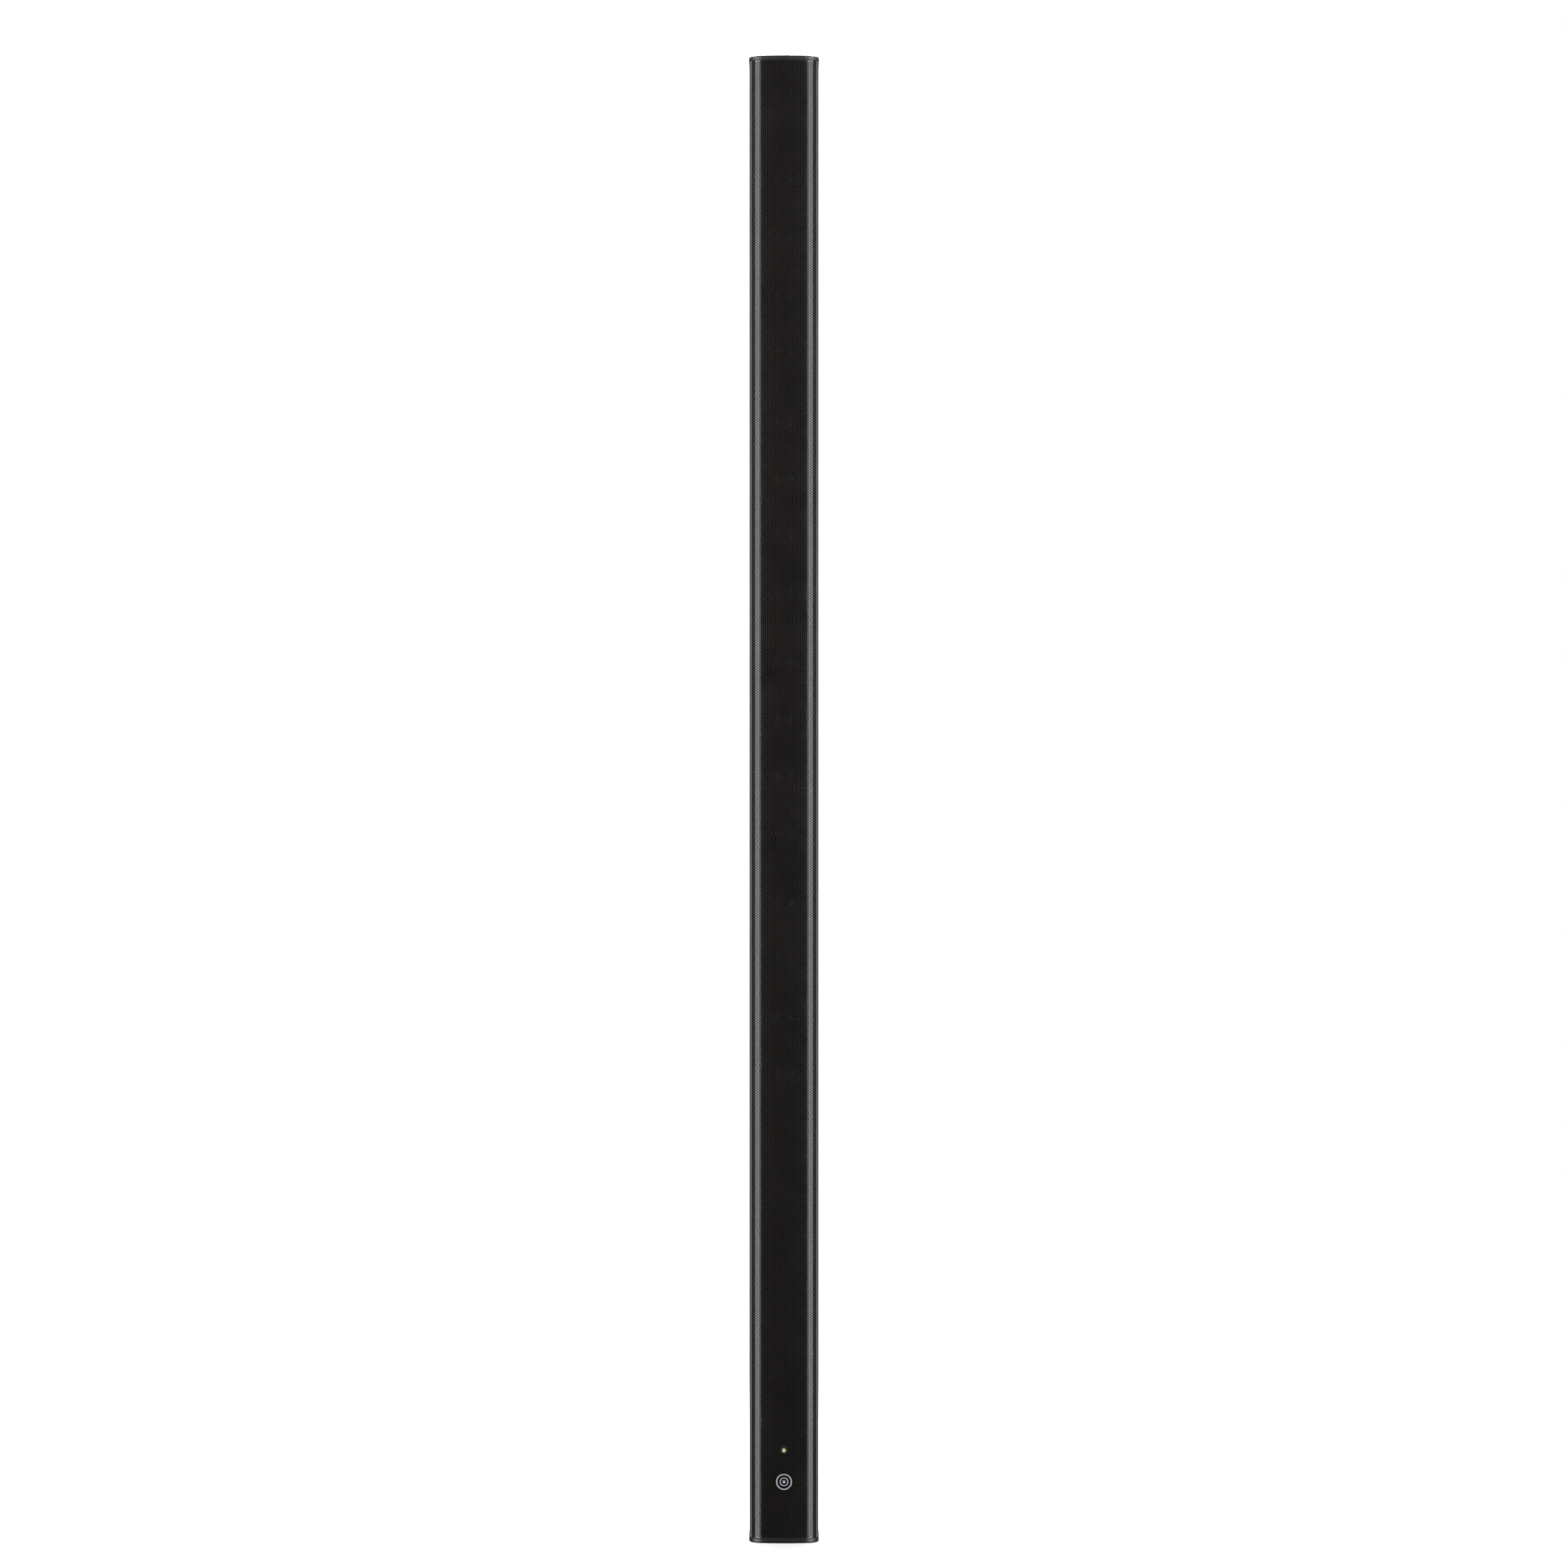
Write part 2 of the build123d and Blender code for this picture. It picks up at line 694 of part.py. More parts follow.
def socket(x, y, z):
    """The hexagon socket that a key turns a small screw by, centred on its face."""
    hexagon = extrude(RegularPolygon(SMALL_SOCKET_R, 6), SMALL_SOCKET_DEPTH, both=True)
    return Pos(x, y, z) * Rot(90, 0, 0) * hexagon


def frame_screw(x, z):
    """A pan-head screw that holds a driver's flange to the baffle."""
    face_y = FLANGE_Y - SMALL_HEAD_T
    screw = rod(x, z, SMALL_HEAD_R, (face_y, FLANGE_Y))
    screw = fillet(screw.edges().group_by(Axis.Y)[0], 0.4)
    screw -= socket(x, face_y, z)
    return screw + rod(x, z, SMALL_SCREW_R, (FLANGE_Y, FLANGE_Y + SMALL_SCREW_LENGTH))


# ---- rear connector pan --------------------------------------------------------------


def make_pan():
    flange_y = SLOT_BACK_Y - PAN_FLANGE_T
    pan = block((-PAN_X, PAN_X), (PAN_FLOOR_Y - PAN_WALL, SLOT_BACK_Y), (PAN_LOW, PAN_HIGH))
    pan = fillet(pan.edges().filter_by(Axis.Y), 3.0)
    flange = block(
        (-PAN_FLANGE_X, PAN_FLANGE_X),
        (flange_y, SLOT_BACK_Y),
        (PAN_LOW - PAN_FLANGE_END, PAN_HIGH + PAN_FLANGE_END),
    )
    pan += fillet(flange.edges().filter_by(Axis.Y), 2.0)
    inner_x = PAN_X - PAN_WALL
    hollow = block(
        (-inner_x, inner_x), (PAN_FLOOR_Y, BACK_Y), (PAN_LOW + PAN_WALL, PAN_HIGH - PAN_WALL)
    )
    pan -= fillet(hollow.edges().filter_by(Axis.Y), 1.5)
    floor = (PAN_FLOOR_Y - PAN_WALL, PAN_FLOOR_Y)
    jack = JACK_SIZE / 2 + PLAY
    pan -= block((-jack, jack), floor, (JACK_Z - jack, JACK_Z + jack))
    dip_x, dip_z = DIP_BLOCK[0] / 2 + PLAY, DIP_BLOCK[1] / 2 + PLAY
    pan -= block((-dip_x, dip_x), floor, (DIP_Z - dip_z, DIP_Z + dip_z))
    pan -= rod(0, RESET_Z, RESET_HOLE_R, floor)
    for x, z in pan_screw_places():
        pan -= rod(x, z, SMALL_SCREW_R + 0.2, (flange_y, SLOT_BACK_Y))
        pan -= rod(x, z, SMALL_HEAD_R + 0.2, (SLOT_BACK_Y - PAN_SCREW_SINK, SLOT_BACK_Y))
    return pan


def pan_screw(x, z):
    """A low-head screw sunk in the pan's flange."""
    seat_y = SLOT_BACK_Y - PAN_SCREW_SINK
    screw = rod(x, z, SMALL_HEAD_R, (seat_y, SLOT_BACK_Y))
    screw += rod(x, z, SMALL_SCREW_R, (seat_y - SMALL_SCREW_LENGTH, seat_y))
    return screw - socket(x, SLOT_BACK_Y, z)


NET_BOARD_Y = CHASSIS_Y + CHASSIS_T + STANDOFF_H
NET_FACE_Y = NET_BOARD_Y + BOARD_T
AMP_BOARD_Y = CHASSIS_Y - STANDOFF_H - BOARD_T


def make_jack():
    """Eight-way modular socket: a shield box with a stepped mouth for the plug's latch."""
    half = JACK_SIZE / 2
    face_y = PAN_FLOOR_Y + JACK_PROUD
    box = block((-half, half), (NET_FACE_Y, face_y), (JACK_Z - half, JACK_Z + half))
    mouth_x, mouth_z = JACK_MOUTH[0] / 2, JACK_MOUTH[1] / 2
    deep = (face_y - JACK_DEPTH, BACK_Y)
    box -= block((-mouth_x, mouth_x), deep, (JACK_Z - mouth_z, JACK_Z + mouth_z))
    for step_x, drop in LATCH_STEPS:
        box -= block((-step_x, step_x), deep, (JACK_Z - mouth_z - drop, JACK_Z))
    return box


def dip_x(way):
    return (way - (DIP_WAYS - 1) / 2) * DIP_PITCH


DIP_FACE_Y = PAN_FLOOR_Y + DIP_PROUD
DIP_REST_Z = DIP_Z - DIP_TRAVEL / 2


def make_dip_block():
    half_x, half_z = DIP_BLOCK[0] / 2, DIP_BLOCK[1] / 2
    body = block((-half_x, half_x), (NET_FACE_Y, DIP_FACE_Y), (DIP_Z - half_z, DIP_Z + half_z))
    for way in range(DIP_WAYS):
        x = dip_x(way)
        body -= block(
            (x - DIP_SLOT[0] / 2, x + DIP_SLOT[0] / 2),
            (DIP_FACE_Y - DIP_SLOT_DEPTH, DIP_FACE_Y),
            (DIP_Z - DIP_SLOT[1] / 2, DIP_Z + DIP_SLOT[1] / 2),
        )
    return body


def make_dip_slider(way):
    x = dip_x(way)
    low_y = DIP_FACE_Y - DIP_SLOT_DEPTH + PLAY
    return block(
        (x - DIP_NUB[0] / 2, x + DIP_NUB[0] / 2),
        (low_y, low_y + DIP_NUB_H),
        (DIP_REST_Z - DIP_NUB[1] / 2, DIP_REST_Z + DIP_NUB[1] / 2),
    )


RESET_TOP_Y = PAN_FLOOR_Y - RESET_SUNK
RESET_LOW_Y = NET_FACE_Y + RESET_SWITCH_T + RESET_GAP


def make_reset_button():
    button = rod(0, RESET_Z, RESET_R, (RESET_LOW_Y, RESET_TOP_Y))
    return fillet(button.faces().sort_by(Axis.Y)[-1].edges(), 0.4)


def make_reset_switch():
    half = RESET_SWITCH / 2
    depth = (NET_FACE_Y, NET_FACE_Y + RESET_SWITCH_T)
    body = block((-half, half), depth, (RESET_Z - half, RESET_Z + half))
    return fillet(body.edges().filter_by(Axis.Y), 0.5)


# ---- boards, bulkhead, damping, harness ----------------------------------------------


def board_standoffs(board, board_y):
    """Four round spacers between the chassis plate and a board."""
    width, low, high = board
    x = width / 2 - SPACER_INSET[0]
    heights = (low + SPACER_INSET[1], high - SPACER_INSET[1])
    plate_y = CHASSIS_Y if board_y < CHASSIS_Y else CHASSIS_Y + CHASSIS_T
    depth = sorted((board_y, plate_y))
    return [rod(side * x, z, SPACER_R, depth) for side in (-1, 1) for z in heights]


def make_chassis():
    half = INNER_X - PAN_FIT
    depth = (CHASSIS_Y, CHASSIS_Y + CHASSIS_T)
    chassis = block((-half, half), depth, (CHASSIS_LOW, CHASSIS_HIGH))
    for spacer in board_standoffs(NET_BOARD, NET_BOARD_Y):
        chassis += spacer
    for spacer in board_standoffs(AMP_BOARD, AMP_BOARD_Y + BOARD_T):
        chassis += spacer
    return chassis


def make_board(board, y):
    width, low, high = board
    plate = block((-width / 2, width / 2), (y, y + BOARD_T), (low, high))
    return fillet(plate.edges().filter_by(Axis.Y), 1.5)


def make_board_parts():
    """Output inductors, reservoir capacitors and the supply transformer."""
    parts = []
    coil_r, coil_t = COIL_SIZE
    for k in range(MODULES * PER_MODULE // 2):
        z = AMP_BOARD[1] + PART_END_GAP + k * COIL_STEP
        for x in (-COIL_X, COIL_X):
            parts.append(rod(x, z, coil_r, (AMP_BOARD_Y - coil_t, AMP_BOARD_Y)))
    can_r, can_t = CAPACITOR_SIZE
    for k in range(CAPACITORS):
        z = AMP_BOARD[2] - PART_END_GAP - k * CAPACITOR_STEP
        parts.append(rod(0, z, can_r, (AMP_BOARD_Y - can_t, AMP_BOARD_Y)))
    width, depth, height = TRANSFORMER
    heights = (TRANSFORMER_LOW, TRANSFORMER_LOW + height)
    parts.append(block((-width / 2, width / 2), (NET_FACE_Y, NET_FACE_Y + depth), heights))
    return Compound(children=parts)


def make_harness():
    """Main loom behind the drivers and one short lead to each."""
    low, high = BULKHEAD_LOW - LOOM_TAIL, TOP_DRIVER_Z
    loom = Pos(HARNESS_X, HARNESS_Y, (low + high) / 2) * Cylinder(HARNESS_R, high - low)
    reach = -CUP_R - HARNESS_X
    lead_y = HARNESS_Y - LEAD_RISE
    for z in ALL_HEIGHTS:
        lead = Rot(0, 90, 0) * Cylinder(LEAD_R, reach)
        loom += Pos(HARNESS_X + reach / 2, lead_y, z) * lead
        loom += rod(HARNESS_X, z, LEAD_R, (lead_y, HARNESS_Y))
        loom += Pos(HARNESS_X, lead_y, z) * Sphere(LEAD_R)
    return loom


BULKHEAD_HIGH = MODULE_LOW
BULKHEAD_LOW = BULKHEAD_HIGH - BULKHEAD_T


def make_bulkhead():
    """Plate that seals the drivers' air space from the electronics below."""
    depth = (BAFFLE_BACK_Y, SLOT_BOX_Y)
    plate = block((-INNER_X, INNER_X), depth, (BULKHEAD_LOW, BULKHEAD_HIGH))
    plate -= between(housing_section(), BULKHEAD_LOW - 1, BULKHEAD_HIGH + 1)
    plate -= Pos(HARNESS_X, HARNESS_Y, BULKHEAD_LOW) * Cylinder(HARNESS_R, 40)
    return plate.solids().sort_by(SortBy.VOLUME)[-1]


def make_foam():
    width, low_y, high_y = FOAM
    heights = (BULKHEAD_HIGH, BODY_HIGH - BOSS_H - 2)
    return block((-width / 2, width / 2), (low_y, high_y), heights)


def make_nut(z):
    """A T-nut: wide head inside the slot, narrow neck in its mouth, M6 thread."""
    head_low = SLOT_FLOOR_Y + NUT_GAP
    head_high = head_low + NUT_T
    half = NUT_LENGTH / 2
    nut = block((-NUT_WIDTH / 2, NUT_WIDTH / 2), (head_low, head_high), (z - half, z + half))
    neck_half = NUT_NECK / 2
    nut += block((-neck_half, neck_half), (head_high, head_high + NUT_NECK_H), (z - half, z + half))
    return nut - rod(0, z, M6_R, (head_low, head_high + NUT_NECK_H))


# ---- write every sub-part ------------------------------------------------------------

save(make_housing(), "housing_extrusion")
save(make_grille(), "front_grille")
save(make_seal_strips(), "grille_seal_strips")
for end, top in (("top", True), ("bottom", False)):
    save(make_cap(top), end + "_end_cap")
    save(make_gasket(top), end + "_cap_gasket")
    screws = [cap_screw(x, y, top) for x, y in cap_screw_places()]
    save(Compound(children=screws), end + "_cap_screws")

save(make_badge_disc(), "badge_disc")
save(make_badge_ring(), "badge_ring")
save(make_led_board(), "status_led_board")
save(make_led(), "status_led")
save(make_light_pipe(), "status_light_pipe")

for module in range(MODULES):
    save(make_baffle(module), "driver_baffle_" + str(module + 1))
for number, z in enumerate(ALL_HEIGHTS, start=1):
    save(make_cone(z), "driver_cone_" + format(number, "02d"))
save(Compound(children=[make_frame(z) for z in ALL_HEIGHTS]), "driver_frames")
save(Compound(children=[make_magnet(z) for z in ALL_HEIGHTS]), "driver_magnets")
save(Compound(children=[make_surround(z) for z in ALL_HEIGHTS]), "driver_surrounds")
save(Compound(children=[make_spider(z) for z in ALL_HEIGHTS]), "driver_spiders")
frame_screws = [
    frame_screw(x, screw_z) for z in ALL_HEIGHTS for x, screw_z in screw_grid(z)
]
save(Compound(children=frame_screws), "driver_screws")

save(baffle_plate(MODULE_HIGH + MODULE_GAP, BODY_HIGH), "upper_front_plate")
save(baffle_plate(BODY_LOW, MODULE_LOW), "lower_front_plate")
save(make_bulkhead(), "chamber_bulkhead")
save(make_foam(), "damping_foam")
save(make_harness(), "speaker_harness")

save(make_pan(), "connector_pan")
save(Compound(children=[pan_screw(x, z) for x, z in pan_screw_places()]), "connector_pan_screws")
save(make_jack(), "network_socket")
save(make_dip_block(), "dip_switch_block")
for way in range(DIP_WAYS):
    save(make_dip_slider(way), "dip_slider_" + str(way + 1))
save(make_reset_button(), "reset_button")
save(make_reset_switch(), "reset_switch")

save(make_chassis(), "electronics_chassis")
save(make_board(NET_BOARD, NET_BOARD_Y), "network_board")
save(make_board(AMP_BOARD, AMP_BOARD_Y), "amplifier_board")
save(make_board_parts(), "board_components")
for name, z in zip(("lower", "upper"), NUT_Z):
    save(make_nut(z), "bracket_nut_" + name)
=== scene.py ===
import json
import math

import bmesh
import bpy
import numpy as np
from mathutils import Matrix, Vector


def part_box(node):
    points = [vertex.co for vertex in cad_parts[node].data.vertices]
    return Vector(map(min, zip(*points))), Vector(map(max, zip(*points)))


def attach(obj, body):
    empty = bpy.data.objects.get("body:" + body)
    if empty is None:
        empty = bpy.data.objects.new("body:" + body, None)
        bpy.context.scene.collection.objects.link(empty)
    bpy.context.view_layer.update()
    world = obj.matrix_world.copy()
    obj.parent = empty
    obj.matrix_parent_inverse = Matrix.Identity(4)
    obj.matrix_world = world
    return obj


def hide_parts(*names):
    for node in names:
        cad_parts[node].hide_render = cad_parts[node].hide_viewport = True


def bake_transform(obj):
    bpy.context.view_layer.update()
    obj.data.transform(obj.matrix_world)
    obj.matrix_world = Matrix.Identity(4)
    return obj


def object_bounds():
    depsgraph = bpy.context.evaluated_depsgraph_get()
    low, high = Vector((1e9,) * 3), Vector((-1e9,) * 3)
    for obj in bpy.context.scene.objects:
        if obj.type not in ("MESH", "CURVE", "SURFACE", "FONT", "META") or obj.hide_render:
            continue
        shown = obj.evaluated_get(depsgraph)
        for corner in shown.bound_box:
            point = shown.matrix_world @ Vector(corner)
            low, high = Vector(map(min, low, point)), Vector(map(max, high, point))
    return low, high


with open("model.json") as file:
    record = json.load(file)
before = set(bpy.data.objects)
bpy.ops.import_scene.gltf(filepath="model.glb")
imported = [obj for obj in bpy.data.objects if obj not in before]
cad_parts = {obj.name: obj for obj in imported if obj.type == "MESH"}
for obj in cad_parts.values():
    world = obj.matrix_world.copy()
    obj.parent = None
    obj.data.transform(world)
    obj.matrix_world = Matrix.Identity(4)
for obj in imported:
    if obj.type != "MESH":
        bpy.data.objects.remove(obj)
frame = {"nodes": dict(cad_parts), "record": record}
CAD_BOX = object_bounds()
NODES = frame["nodes"]
MM = 0.001

# Plan curve of the column's front: crown, shoulders, then the grille's folded flanges
CROWN_R = 68.0 * MM
SHOULDER_R = 13.86 * MM
HALF_WIDTH = 27.0 * MM
SHOULDER_X = HALF_WIDTH - SHOULDER_R
SHOULDER_TURN = math.asin(SHOULDER_X / (CROWN_R - SHOULDER_R))
FOLD_R = 3.0 * MM

# Perforation: round holes on a 60 degree grid, in upright columns
HOLE_R = 0.6 * MM
HOLE_SIDES = 12
COLUMNS = 31
SHEET_PIECES = 8
ROWS_PER_PIECE = 77
SHEET_END_MARGIN = 0.4 * MM
SHEET_T = 1.0 * MM
MARGIN_GAP = 0.05 * MM


# ---- small helpers -------------------------------------------------------------------


def add_mesh(name, verts, faces, material, smooth_angle=35):
    mesh = bpy.data.meshes.new(name)
    mesh.from_pydata([tuple(v) for v in verts], [], [tuple(f) for f in faces])
    mesh.update()
    mesh.polygons.foreach_set("use_smooth", [True] * len(mesh.polygons))
    mesh.set_sharp_from_angle(angle=math.radians(smooth_angle))
    mesh.materials.append(material)
    piece = bpy.data.objects.new(name, mesh)
    bpy.context.scene.collection.objects.link(piece)
    return piece


def lathe(name, outline, centre, material, steps=96, smooth_angle=35):
    """A closed solid of revolution about an axis along Y, from (radius, y) points."""
    verts, faces = [], []
    count = len(outline)
    for k in range(steps):
        turn = 2 * math.pi * k / steps
        for radius, y in outline:
            verts.append(
                (
                    centre.x + radius * math.cos(turn),
                    centre.y + y,
                    centre.z + radius * math.sin(turn),
                )
            )
    for k in range(steps):
        near, far = k * count, (k + 1) % steps * count
        for i in range(count):
            j = (i + 1) % count
            faces.append((near + i, near + j, far + j, far + i))
    piece = add_mesh(name, verts, faces, material, smooth_angle)
    tidy_up(piece.data)
    return piece


def tidy_up(mesh):
    """Joins doubled points, as on an axis, and turns every face outwards."""
    work = bmesh.new()
    work.from_mesh(mesh)
    bmesh.ops.remove_doubles(work, verts=work.verts, dist=1e-7)
    bmesh.ops.dissolve_degenerate(work, dist=1e-8, edges=work.edges)
    bmesh.ops.recalc_face_normals(work, faces=work.faces)
    work.to_mesh(mesh)
    work.free()


# ---- materials -----------------------------------------------------------------------


class Finish:
    """A Principled material whose constant values sit on the shader's own sockets."""

    def __init__(self, name, colour, roughness, metallic=0.0, **sockets):
        self.material = bpy.data.materials.new(name)
        self.material.use_nodes = True
        self.tree = self.material.node_tree
        self.shader = self.tree.nodes["Principled BSDF"]
        self.shader.inputs["Base Color"].default_value = (*colour, 1)
        self.shader.inputs["Roughness"].default_value = roughness
        self.shader.inputs["Metallic"].default_value = metallic
        for socket, value in sockets.items():
            self.shader.inputs[socket.replace("_", " ")].default_value = value
        self.where = self.node("ShaderNodeTexCoord")

    def node(self, kind, **values):
        made = self.tree.nodes.new(kind)
        for key, value in values.items():
            setattr(made, key, value)
        return made

    def link(self, source, target):
        self.tree.links.new(source, target)

    def place(self, stretch=(1, 1, 1)):
        scaled = self.node("ShaderNodeMapping")
        scaled.inputs["Scale"].default_value = stretch
        self.link(self.where.outputs["Object"], scaled.inputs["Vector"])
        return scaled.outputs["Vector"]

    def noise(self, scale, detail=3.0, stretch=(1, 1, 1)):
        made = self.node("ShaderNodeTexNoise")
        made.inputs["Scale"].default_value = scale
        made.inputs["Detail"].default_value = detail
        self.link(self.place(stretch), made.inputs["Vector"])
        return made.outputs["Fac"]

    def spread(self, value, low, high, start=0.3, end=0.7):
        """Turns a 0 to 1 pattern into a value between low and high."""
        ranged = self.node("ShaderNodeMapRange")
        limits = {"From Min": start, "From Max": end, "To Min": low, "To Max": high}
        for socket, number in limits.items():
            ranged.inputs[socket].default_value = number
        self.link(value, ranged.inputs["Value"])
        return ranged.outputs["Result"]

    def colours(self, value, dark, light, start=0.3, end=0.7):
        ramp = self.node("ShaderNodeValToRGB")
        ramp.color_ramp.elements[0].position = start
        ramp.color_ramp.elements[0].color = (*dark, 1)
        ramp.color_ramp.elements[1].position = end
        ramp.color_ramp.elements[1].color = (*light, 1)
        self.link(value, ramp.inputs["Fac"])
        self.link(ramp.outputs["Color"], self.shader.inputs["Base Color"])
        return self

    def roughness(self, value, low, high, start=0.3, end=0.7):
        self.link(self.spread(value, low, high, start, end), self.shader.inputs["Roughness"])
        return self

    def bump(self, value, height, strength=1.0):
        made = self.node("ShaderNodeBump")
        made.inputs["Strength"].default_value = strength
        made.inputs["Distance"].default_value = height
        self.link(value, made.inputs["Height"])
        self.link(made.outputs["Normal"], self.shader.inputs["Normal"])
        return self


def powder_coat(name, dark, light, low, high, grain=900.0, height=0.00004, shine=0.5):
    """Fine-textured stove enamel, a little uneven in gloss."""
    finish = Finish(name, light, (low + high) / 2, Specular_IOR_Level=shine)
    cloud = finish.noise(22.0, 4.0)
    finish.colours(cloud, dark, light)
    finish.roughness(finish.noise(65.0, 3.0), low, high)
    finish.bump(finish.noise(grain, 2.0), height, 0.5)
    return finish.material


def moulded(name, dark, light, low, high, grain=1400.0, height=0.00003):
    """Spark-eroded mould texture on plastic."""
    finish = Finish(name, light, (low + high) / 2)
    finish.colours(finish.noise(30.0, 3.0), dark, light)
    finish.roughness(finish.noise(180.0, 2.0), low, high)
    finish.bump(finish.noise(grain, 1.0), height, 0.6)
    return finish.material


def plated(name, dark, light, low, high, metallic=1.0):
    """Bright metal with faint haze and wipe marks."""
    finish = Finish(name, light, (low + high) / 2, metallic)
    finish.colours(finish.noise(300.0, 3.0), dark, light)
    finish.roughness(finish.noise(500.0, 4.0, (1, 1, 0.3)), low, high)
    return finish.material


def brushed(name, dark, light, low, high):
    """Metal with fine lines along the column."""
    finish = Finish(name, light, (low + high) / 2, metallic=1.0)
    lines = finish.noise(2500.0, 4.0, (1, 1, 0.02))
    finish.colours(lines, dark, light)
    finish.roughness(finish.noise(900.0, 3.0, (1, 1, 0.03)), low, high)
    finish.bump(lines, 0.00001, 0.4)
    return finish.material


def circuit_board(name, mask, track):
    """Solder mask over a dense web of tracks."""
    finish = Finish(name, mask, 0.3)
    cells = finish.node("ShaderNodeTexVoronoi", feature="DISTANCE_TO_EDGE", distance="MANHATTAN")
    cells.inputs["Scale"].default_value = 260.0
    finish.link(finish.place(), cells.inputs["Vector"])
    edge = cells.outputs["Distance"]
    finish.colours(edge, track, mask, 0.03, 0.09)
    finish.bump(edge, 0.00004, 0.6)
    return finish.material


def woven(name, dark, light, threads=900.0):
    """Resin-dipped cloth: crossing threads."""
    finish = Finish(name, light, 0.8)
    bands = []
    for direction in ("X", "Z"):
        wave = finish.node("ShaderNodeTexWave", bands_direction=direction)
        wave.inputs["Scale"].default_value = threads
        finish.link(finish.place(), wave.inputs["Vector"])
        bands.append(wave.outputs["Fac"])
    product = finish.node("ShaderNodeMath", operation="MULTIPLY")
    for band, socket in zip(bands, product.inputs):
        finish.link(band, socket)
    finish.colours(product.outputs["Value"], dark, light, 0.1, 0.9)
    finish.bump(product.outputs["Value"], 0.0001, 0.6)
    return finish.material


def fibre_felt(name, dark, light):
    finish = Finish(name, light, 0.95)
    strands = finish.noise(420.0, 6.0, (1, 1, 0.4))
    finish.colours(strands, dark, light)
    finish.bump(strands, 0.0008, 0.8)
    return finish.material


def pressed_paper(name, dark, light):
    """Doped paper pulp of a loudspeaker cone."""
    finish = Finish(name, light, 0.42)
    pulp = finish.noise(700.0, 5.0)
    finish.colours(pulp, dark, light)
    finish.roughness(finish.noise(250.0, 3.0), 0.32, 0.5)
    finish.bump(pulp, 0.00005, 0.7)
    return finish.material


def glowing(name, colour, strength):
    finish = Finish(name, (0.8, 0.9, 0.85), 0.3)
    finish.shader.inputs["Emission Color"].default_value = (*colour, 1)
    finish.shader.inputs["Emission Strength"].default_value = strength
    finish.roughness(finish.noise(2000.0), 0.25, 0.4)
    return finish.material


TIP_GLOW_START = 0.9 * MM
TIP_GLOW_END = 2.6 * MM


def light_guide(name, colour, strength):
    """Milky acrylic whose tip glows where the light leaves it."""
    finish = Finish(name, (0.3, 0.34, 0.3), 0.25, Transmission_Weight=0.3, IOR=1.49)
    finish.shader.inputs["Emission Color"].default_value = (*colour, 1)
    finish.roughness(finish.noise(1500.0), 0.18, 0.35)
    place = finish.node("ShaderNodeSeparateXYZ")
    finish.link(finish.where.outputs["Object"], place.inputs["Vector"])
    tip_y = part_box("status_light_pipe")[0].y
    glow = finish.spread(
        place.outputs["Y"], strength, 0.0, tip_y + TIP_GLOW_START, tip_y + TIP_GLOW_END
    )
    finish.link(glow, finish.shader.inputs["Emission Strength"])
    return finish.material


BLACK = (0.006, 0.0058, 0.0055)
SOFT_BLACK = (0.011, 0.0105, 0.010)

# Noise scale and bump height of a coat too fine to widen its highlights
FINE_GRAIN = 2600.0
FINE_BUMP = 0.000005

